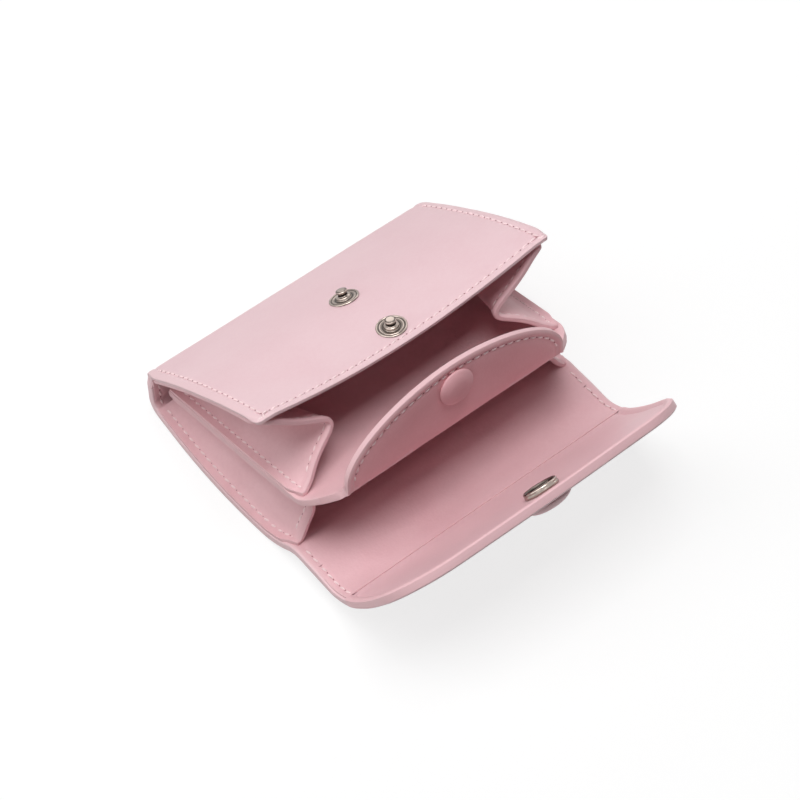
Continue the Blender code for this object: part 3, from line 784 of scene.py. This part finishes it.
def strips(piece, cuts):
    """Cut a finished gusset across its length into strips with closed ends, each with its middle place."""
    made = []
    for k, (low, high) in enumerate(zip([-1.0] + cuts, cuts + [2.0])):
        strip = piece.copy()
        strip.data = piece.data.copy()
        strip.name = strip.data.name = piece.name + "_" + str(k + 1)
        bpy.context.collection.objects.link(strip)
        bulk = bmesh.new()
        bulk.from_mesh(strip.data)
        place = bulk.loops.layers.uv.active
        others = [face for face in bulk.faces
                  if not low < sum(loop[place].uv.y for loop in face.loops) / len(face.loops) < high]
        bmesh.ops.delete(bulk, geom=others, context="FACES")
        bmesh.ops.holes_fill(bulk, edges=[edge for edge in bulk.edges if edge.is_boundary])
        bulk.to_mesh(strip.data)
        bulk.free()
        finish_mesh(strip, piece.data.materials[0])
        made.append((strip, (max(low, 0.0) + min(high, 1.0)) / 2))
    bpy.data.objects.remove(piece)
    return made


gusset_leather = leather("thin pink gusset leather", "#E8BFC4", "#DFB2B8", "#E3BABF", 0.48)
u_places = [0, 0.15, 0.35] + [0.5 + 0.1 * k for k in range(11)] + [1.6 + 0.05 * k for k in range(17)]
u_places = sorted(u_places + [4 - u for u in u_places if u < 1.55])
v_places = [k / 16 * 0.88 for k in range(16)]
v_places += [0.88, 0.9, 0.92, 0.935, 0.945, 0.955, 0.965, 0.975, 0.985, 0.993, 1.0]
SIDES = ((-1, "left"), (1, "right"))
gussets = {}
for side, word in SIDES:
    front_half, ridge_half = side * (HALF - 0.0003), side * (ridge - 0.0002)
    above = PANEL / 2 + 0.0005
    upper = gusset_surface(panel_edge(front_surface, front_half, 0.0, FRONT_LENGTH - 0.0003, -above),
                           panel_edge(divider_surface, ridge_half, 0.0, divider_length, above),
                           side, reach=1.0, depth_mouth=0.0208, back=0.0023, sag=0.0010, swell=0.0012,
                           softness=(0.5, 0.2, 0.5))
    lower = gusset_surface(panel_edge(divider_surface, ridge_half, 0.0, divider_length, -above),
                           panel_edge(back_surface, front_half, 0.0135, back_length - 0.0135, above + 0.0001),
                           side, reach=0.98, depth_mouth=0.0052, back=0.0002, sag=-0.0015, swell=0.0004,
                           softness=(0.45, 0.4, 0.45))
    for kind, surface, length, a, b, cuts in (
            ("upper", upper, 0.066, "front_panel", "divider", [0.22, 0.44, 0.605, 0.77, 0.88]),
            ("lower", lower, 0.064, "divider", "back", [0.22, 0.44, 0.66, 0.77, 0.88])):
        name = kind + "_gusset_" + word

        def hem_distance(u, v):
            """Distance from the gusset's hemmed mouth edge."""
            return (1 - v) * length

        gusset = sheet(name + "_leather", u_places, v_places, surface, GUSSET_HIDE, hem_distance,
                       gusset_leather, lip=0.00045, groove=0.0001, seam=0.0031)
        for strip, middle in strips(gusset, cuts):
            start, end = surface(1.0, middle), surface(3.0, middle)
            start.x = end.x = 0.0
            if middle > 0.9:
                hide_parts(name)
            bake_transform(strip)
        gussets[name] = (surface, length, a, b, start, end)

# Seams: light waxed thread in saddle stitch, ten stitches to 31 mm, lying in its groove with a needle hole
# between each two. Each hole is a flat dark dot on the leather, a painted shade for the pit. One stitch and
# one hole are shaped once and copied along each seam.

thread, tree = empty_material("waxed pink linen thread")
place = node(tree, "ShaderNodeTexCoord")
twist = node(tree, "ShaderNodeTexWave", {"Scale": 900.0, "Distortion": 1.5, "Detail": 1.0},
             {"Vector": (place, "Object")}, bands_direction="DIAGONAL")
ply = node(tree, "ShaderNodeBump", {"Strength": 0.5, "Distance": 0.00008}, {"Height": (twist, "Fac")})
shader = node(tree, "ShaderNodeBsdfPrincipled", {"Base Color": linear("#F4DADC"), "Roughness": 0.6, "IOR": 1.4},
              {"Normal": (ply, "Normal")})
node(tree, "ShaderNodeOutputMaterial", links={"Surface": (shader, "BSDF")})

# a needle hole is a flat dark dot, not a pit: painted shade
hole_shade, tree = empty_material("needle hole through leather")
shader = node(tree, "ShaderNodeBsdfPrincipled", {"Base Color": linear("#A06E74"), "Roughness": 0.9, "IOR": 1.4})
node(tree, "ShaderNodeOutputMaterial", links={"Surface": (shader, "BSDF")})


def ball(segments, rings, size):
    """A round primitive squashed to a size in metres, as a mesh of its own."""
    bpy.ops.mesh.primitive_uv_sphere_add(segments=segments, ring_count=rings, radius=1,
                                         rotation=(0, math.radians(90), 0))
    made = bpy.context.object
    bpy.ops.object.transform_apply(location=False, rotation=True, scale=False)
    for vertex in made.data.vertices:
        x, y, z = vertex.co
        vertex.co = (x * size[0], y * size[1], z * size[2] - abs(x) ** 3 * size[2] * 0.9)
    mesh = made.data
    bpy.data.objects.remove(made)
    return mesh


stitch = ball(8, 8, (0.00114, 0.00036, 0.00034))
hole = ball(8, 5, (0.00027, 0.00020, 0.00009))


def flat_track(surface, offset, corners):
    """Places and outward normals along a seam drawn in the flat, at an offset from a sheet's middle."""
    track = []
    for (x1, s1), (x2, s2) in zip(corners, corners[1:]):
        first, last = surface(x1, s1), surface(x2, s2)
        count = max(2, math.ceil((last - first).length / 0.0005))
        for k in range(count):
            x, s = x1 + (x2 - x1) * k / count, s1 + (s2 - s1) * k / count
            up = normal_of(surface, x, s)
            track.append((surface(x, s) + up * offset, up if offset > 0 else -up))
    return track


def sew(name, track, attach, pitch=0.0031):
    """Copy stitches and needle holes along a track at an even pitch, and hand them to attach: seams that ride
    a body are tied to it, and seams on a bend are fixed where they lie.
    """
    marks = [0.0]
    for (a, _), (b, _) in zip(track, track[1:]):
        marks.append(marks[-1] + (b - a).length)
    count = max(1, round(marks[-1] / pitch))

    def frame_at(distance):
        k, share = stretch_of(marks, distance)
        spot = track[k][0].lerp(track[k + 1][0], share)
        up = track[k][1].lerp(track[k + 1][1], share).normalized()
        ahead = (track[min(k + 2, len(track) - 1)][0] - track[max(k - 1, 0)][0]).normalized()
        ahead = (ahead - up * ahead.dot(up)).normalized()
        return spot, ahead, up

    for word, shape, shift, slant, material, copies in (("thread", stitch, 0.5, 0.2, thread, count),
                                                        ("holes", hole, 1.0, 0.0, hole_shade, count - 1)):
        if copies == 0:
            continue
        bulk = bmesh.new()
        for k in range(copies):
            spot, ahead, up = frame_at((k + shift) * marks[-1] / count)
            ahead = Matrix.Rotation(slant, 3, up) @ ahead
            side = up.cross(ahead)
            turn_to = Matrix((ahead, side, up)).transposed().to_4x4()
            before = len(bulk.verts)
            bulk.from_mesh(shape)
            bulk.verts.ensure_lookup_table()
            bmesh.ops.transform(bulk, matrix=Matrix.Translation(spot) @ turn_to, verts=bulk.verts[before:])
        mesh = bpy.data.meshes.new(name + "_" + word)
        bulk.to_mesh(mesh)
        bulk.free()
        piece = bpy.data.objects.new(name + "_" + word, mesh)
        bpy.context.collection.objects.link(piece)
        finish_mesh(piece, material, 80)
        attach(piece)


def rides(body):
    return lambda piece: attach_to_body(piece, body)


def bends(a, b, start, end):
    return lambda piece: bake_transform(piece)


seam_inset = 0.0027
edge = HALF - seam_inset
front_end = FRONT_LENGTH - seam_inset
in_groove = PANEL / 2 - 0.00012
on_lining = in_groove + 0.0002
sew("front_panel_seam", flat_track(front_surface, in_groove,
                                   [(-edge, 0.003), (-edge, front_end), (edge, front_end), (edge, 0.003)]),
    rides("front_panel"))
sew("front_lining_seam", flat_track(front_lining_surface, -0.00018,
                                    [(-edge + 0.004, front_end), (edge - 0.004, front_end)]),
    rides("front_panel"))
hinge_bend = bends("back", "main_flap_base", *hinge_planes)
fold_bend = bends("main_flap_base", "main_flap", *flap_bend)
hinge_end = back_length + 0.0078
flap_stretch = (0.0082, crease - 0.0006)
for side, word in SIDES:
    for name, surface, offset, stretch, attach in (
            ("back_seam_under_", back_surface, -in_groove, (0.010, hinge_end), hinge_bend),
            ("spine_seam_", back_surface, on_lining, (0.003, 0.0155), rides("back")),
            ("hinge_seam_", back_surface, on_lining, (back_length + 0.0005, hinge_end), hinge_bend),
            ("flap_seam_", flap_surface, on_lining, flap_stretch, fold_bend),
            ("flap_seam_under_", flap_surface, -in_groove, flap_stretch, fold_bend)):
        sew(name + word, flat_track(surface, offset, [(side * edge, s) for s in stretch]), attach)
    for kind in ("upper", "lower"):
        surface, length, a, b, start, end = gussets[kind + "_gusset_" + word]
        up = math.copysign(1, normal_of(surface, 3.3, 0.5).z) * FLANGE
        sew(kind + "_gusset_seam_" + word, flat_track(surface, up, [(3.26, 0.02), (3.26, 0.99)]), rides(b))
        v = 1 - 0.0029 / length
        for hem, offset in (("_hem_outside_", FLANGE), ("_hem_inside_", -FLANGE)):
            track = flat_track(surface, offset, [(1.12, v), (2.9, v)])
            sew(kind + hem + word, track, bends(a, b, start, end))

# two short tacks at each of the panel's mouth corners hold the gusset's hem to it
for side, word in SIDES:
    for tack, first, last in (
            ("over_", (edge - 0.0004, front_end + 0.0006), (edge + 0.0003, FRONT_LENGTH - 0.0002)),
            ("out_", (edge + 0.0005, front_end + 0.0012), (HALF - 0.0004, front_end + 0.0016))):
        track = flat_track(front_outer_surface, 0.00055, [(side * x, s) for x, s in (first, last)])
        sew("corner_tack_" + tack + word, track, rides("front_panel"), 0.0011)

rim = [(x, rim_height(x)) for x in [coin_width / 2 * math.cos(math.pi * k / 180) for k in range(181)]]
rim_seam = []
for (x0, s0), (x1, s1), (x2, s2) in zip(rim, rim[1:], rim[2:]):
    out = Vector((s2 - s0, -(x2 - x0))).normalized()
    if out.dot(Vector((x1, s1))) < 0:
        out = -out
    rim_seam.append((x1 - out.x * 0.0026, s1 - out.y * 0.0026))
rim_seam = [point for point in rim_seam if point[1] > 0.0015]
coin_bend = bends("coin_flap_foot", "coin_flap", *leaf_bend)
sew("coin_flap_seam", flat_track(leaf_surface, -in_groove + 0.0004, rim_seam), coin_bend)
sew("coin_flap_seam_inside", flat_track(leaf_surface, in_groove - 0.0004, rim_seam), coin_bend)

# The snaps: stock spring fasteners in nickel-plated brass. Each stud is a dished plate with a turned ring
# and a waisted post, riveted through the front panel, and each socket a rolled ring with two spring wires.

nickel, tree = empty_material("polished nickel plate")
place = node(tree, "ShaderNodeTexCoord")
# light handling marks, about 1.5 mm apart
smear = node(tree, "ShaderNodeTexNoise", {"Scale": 700.0, "Detail": 3.0}, {"Vector": (place, "Object")})
dull = node(tree, "ShaderNodeMapRange", {"From Min": 0.35, "From Max": 0.7, "To Min": 0.12, "To Max": 0.26},
            {"Value": (smear, "Fac")})
# darker and rougher in the hollows: partly tarnish, partly painted shade
tarnish_and_shade = node(tree, "ShaderNodeAttribute", attribute_name="tarnish_and_shade")
plate = node(tree, "ShaderNodeMix", {"A": linear("#A4978F"), "B": linear("#140D0B")},
             {"Factor": (tarnish_and_shade, "Fac")}, data_type="RGBA")
rough = node(tree, "ShaderNodeMath", {1: 0.3}, {0: (tarnish_and_shade, "Fac"), 2: (dull, "Result")},
             operation="MULTIPLY_ADD")
shader = node(tree, "ShaderNodeBsdfPrincipled", {"Metallic": 1.0},
              {"Base Color": (plate, "Result"), "Roughness": (rough, 0)})
node(tree, "ShaderNodeOutputMaterial", links={"Surface": (shader, "BSDF")})


def turned(name, outline, hollows=()):
    """A round piece, spun from half its outline: radius and height in millimetres, from pole to pole.
    Its plating is darker in the hollows, each a radius and how far it reaches from there: partly tarnish,
    partly painted shade."""
    bpy.ops.object.select_all(action="DESELECT")
    mesh = bpy.data.meshes.new(name)
    mesh.from_pydata([(r / 1000, 0, h / 1000) for r, h in outline],
                     [(k, k + 1) for k in range(len(outline) - 1)], [])
    made = bpy.data.objects.new(name, mesh)
    bpy.context.collection.objects.link(made)
    made.select_set(True)
    bpy.context.view_layer.objects.active = made
    bpy.ops.object.mode_set(mode="EDIT")
    bpy.ops.mesh.select_all(action="SELECT")
    bpy.ops.mesh.spin(steps=64, angle=2 * math.pi, center=(0, 0, 0), axis=(0, 0, 1))
    bpy.ops.mesh.select_all(action="SELECT")
    bpy.ops.mesh.remove_doubles(threshold=1e-6)
    bpy.ops.mesh.normals_make_consistent(inside=False)
    bpy.ops.object.mode_set(mode="OBJECT")
    if hollows:
        mark_points(made, "tarnish_and_shade", [max(smooth_step(reach, 0, abs(vertex.co.xy.length * 1000 - r))
                                         for r, reach in hollows) for vertex in made.data.vertices])
    return made


def stand(piece, surface, s, offset):
    """Move a piece built up from the origin so that it stands on one face of a surface, at x = 0."""
    up = normal_of(surface, 0.0, s)
    spot = surface(0.0, s) + up * offset
    up = up if offset > 0 else -up
    ahead = Vector((1, 0, 0))
    side = up.cross(ahead).normalized()
    piece.data.transform(Matrix.Translation(spot) @ Matrix((ahead, side, up)).transposed().to_4x4())
    return piece


stud_outline = ((0, 0.0), (4.5, 0.0), (4.72, 0.08), (4.8, 0.22), (4.74, 0.38), (4.55, 0.48), (4.35, 0.46),
                (4.2, 0.34), (4.05, 0.24), (3.9, 0.24), (3.75, 0.36), (3.55, 0.42), (3.35, 0.36), (3.2, 0.26),
                (2.7, 0.24), (2.45, 0.3), (2.32, 0.5), (2.3, 0.8), (2.2, 1.0), (1.98, 1.12), (1.8, 1.14),
                (1.62, 1.22), (1.5, 1.4), (1.44, 1.6), (1.46, 1.85), (1.54, 2.05), (1.68, 2.25), (1.8, 2.45),
                (1.82, 2.65), (1.72, 2.85), (1.5, 2.97), (1.1, 3.03), (0.7, 3.05), (0, 3.05))
stud_hollows = ((4.0, 0.3), (2.8, 0.7), (1.45, 0.25))
rivet_outline = ((0, 0.0), (4.6, 0.0), (4.78, 0.12), (4.8, 0.3), (4.6, 0.5), (4.1, 0.68), (3.0, 0.8),
                 (1.5, 0.86), (0, 0.88))
for name, back in (("main", 0.0352), ("coin", 0.0089)):
    s = FRONT_LENGTH - back
    stud = stand(turned(name + "_stud", stud_outline, stud_hollows), front_surface, s, 0.00122)
    rivet = stand(turned(name + "_rivet_head", rivet_outline), front_surface, s, -0.00135)
    for piece, replaced in ((stud, name + "_snap_stud"), (rivet, name + "_stud_rivet")):
        finish_mesh(piece, nickel, 45)
        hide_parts(replaced)
        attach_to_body(piece, "front_panel")

socket_outline = ((0, 0.22), (2.25, 0.22), (2.5, 0.3), (2.7, 0.42), (3.1, 0.5), (3.7, 0.44), (4.1, 0.42),
                  (4.35, 0.56), (4.45, 1.0), (4.55, 1.45), (4.75, 1.76), (5.0, 1.88), (5.24, 1.86),
                  (5.42, 1.68), (5.5, 1.4), (5.46, 1.15), (5.5, 0.9), (5.6, 0.6), (5.6, 0.2), (5.5, 0.0),
                  (0, 0.0))
# the socket's whole inside is painted nearly black: painted shade
socket_hollows = ((0, 3.2), (2.2, 2.4), (3.8, 1.3), (4.4, 0.6))
dome = ((0, 1.0), (0.25, 0.985), (0.45, 0.93), (0.62, 0.84), (0.76, 0.71), (0.87, 0.58), (0.95, 0.45),
        (0.99, 0.34), (1.0, 0.27), (0.985, 0.2), (0.95, 0.15), (0.9, 0.12), (0.86, 0.08))
for name, surface, s, attach, rim, crown, cover_leather in (
        ("main", flap_surface, flap_length - 0.0098, rides("main_flap"), 7.5, 3.2, flap_shaded_calf),
        ("coin", leaf_surface, 0.0164, rides("coin_flap"), 6.0, 2.9, coin_shaded_calf)):
    socket = stand(turned(name + "_socket", socket_outline, socket_hollows), surface, s, 0.0012)
    finish_mesh(socket, nickel, 45)
    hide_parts(name + "_snap_socket")
    attach(socket)
    for side, place in ((-1, "near"), (1, "far")):
        bpy.ops.mesh.primitive_cylinder_add(vertices=12, radius=0.00024, depth=0.0078,
                                            location=(0, side * 0.0019, 0.00105),
                                            rotation=(0, math.radians(90), 0))
        wire = bpy.context.object
        wire.name = name + "_spring_wire_" + place
        # the spring wires are painted half dark: painted shade inside the socket
        mark_points(wire, "tarnish_and_shade", [0.55] * len(wire.data.vertices))
        bpy.ops.object.transform_apply(location=True, rotation=True, scale=True)
        stand(wire, surface, s, 0.0012)
        finish_mesh(wire, nickel, 45)
        attach(wire)
    domed = [(rim * r, crown * h) for r, h in dome] + [(rim * 0.84, -0.1), (0, -0.1)]
    cover = stand(turned(name + "_leather_cap", domed), surface, s, -0.00118)
    finish_mesh(cover, cover_leather, 60)
    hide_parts(name + "_cap_cover", name + "_cap")
    attach(cover)
